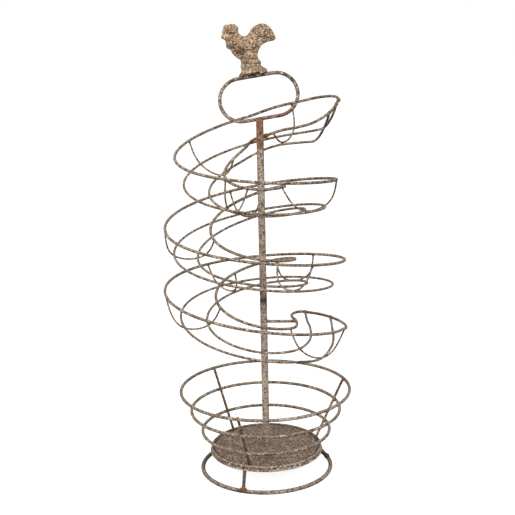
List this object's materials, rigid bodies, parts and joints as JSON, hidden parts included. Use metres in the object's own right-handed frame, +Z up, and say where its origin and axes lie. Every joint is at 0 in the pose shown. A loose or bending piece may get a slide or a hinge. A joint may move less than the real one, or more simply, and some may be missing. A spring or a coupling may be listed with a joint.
{
  "type": "spiral egg rack",
  "caption": "Free-standing wire egg rack: a spiral egg channel round a post, a wire basket on a tray and ring foot, a carrying handle and a cast rooster on top.",
  "frame": {"origin": "centre of the whole rack's bounding box in plan, at floor height", "axes": "+Z up along the post; -Y is the front, so the rooster faces -X; the entry of the channel is at +X and the run goes down anticlockwise seen from above"},
  "size_m": [0.2888, 0.2874, 0.7022],
  "materials": {
    "worn_wire": "rough, mottled antique brown paint, worn and rust-flecked",
    "worn_post": "rough, speckled antique brown paint",
    "worn_casting": "rough, strongly mottled antique brown paint over a casting",
    "worn_tray": "rough, finely speckled dark brown paint"
  },
  "bodies": {
    "root": {"base_ring": "worn_wire", "basket_lower_ring": "worn_wire", "basket_middle_ring": "worn_wire", "basket_top_ring": "worn_wire", "basket_upright_back": "worn_wire", "basket_upright_front": "worn_wire", "basket_upright_right": "worn_wire", "centre_post": "worn_post", "cradle_01": "worn_wire", "cradle_02": "worn_wire", "cradle_03": "worn_wire", "cradle_04": "worn_wire", "cradle_05": "worn_wire", "cradle_06": "worn_wire", "cradle_07": "worn_wire", "cradle_08": "worn_wire", "cradle_09": "worn_wire", "cradle_10": "worn_wire", "cradle_11": "worn_wire", "handle_loop": "worn_wire", "inner_bottom_rail": "worn_wire", "inner_top_rail": "worn_wire", "leg_back": "worn_wire", "leg_front": "worn_wire", "leg_right": "worn_wire", "outer_bottom_rail": "worn_wire", "outer_top_rail": "worn_wire", "post_bracket": "worn_wire", "rooster_finial": "worn_casting", "tray": "worn_tray"}
  },
  "joints": []
}
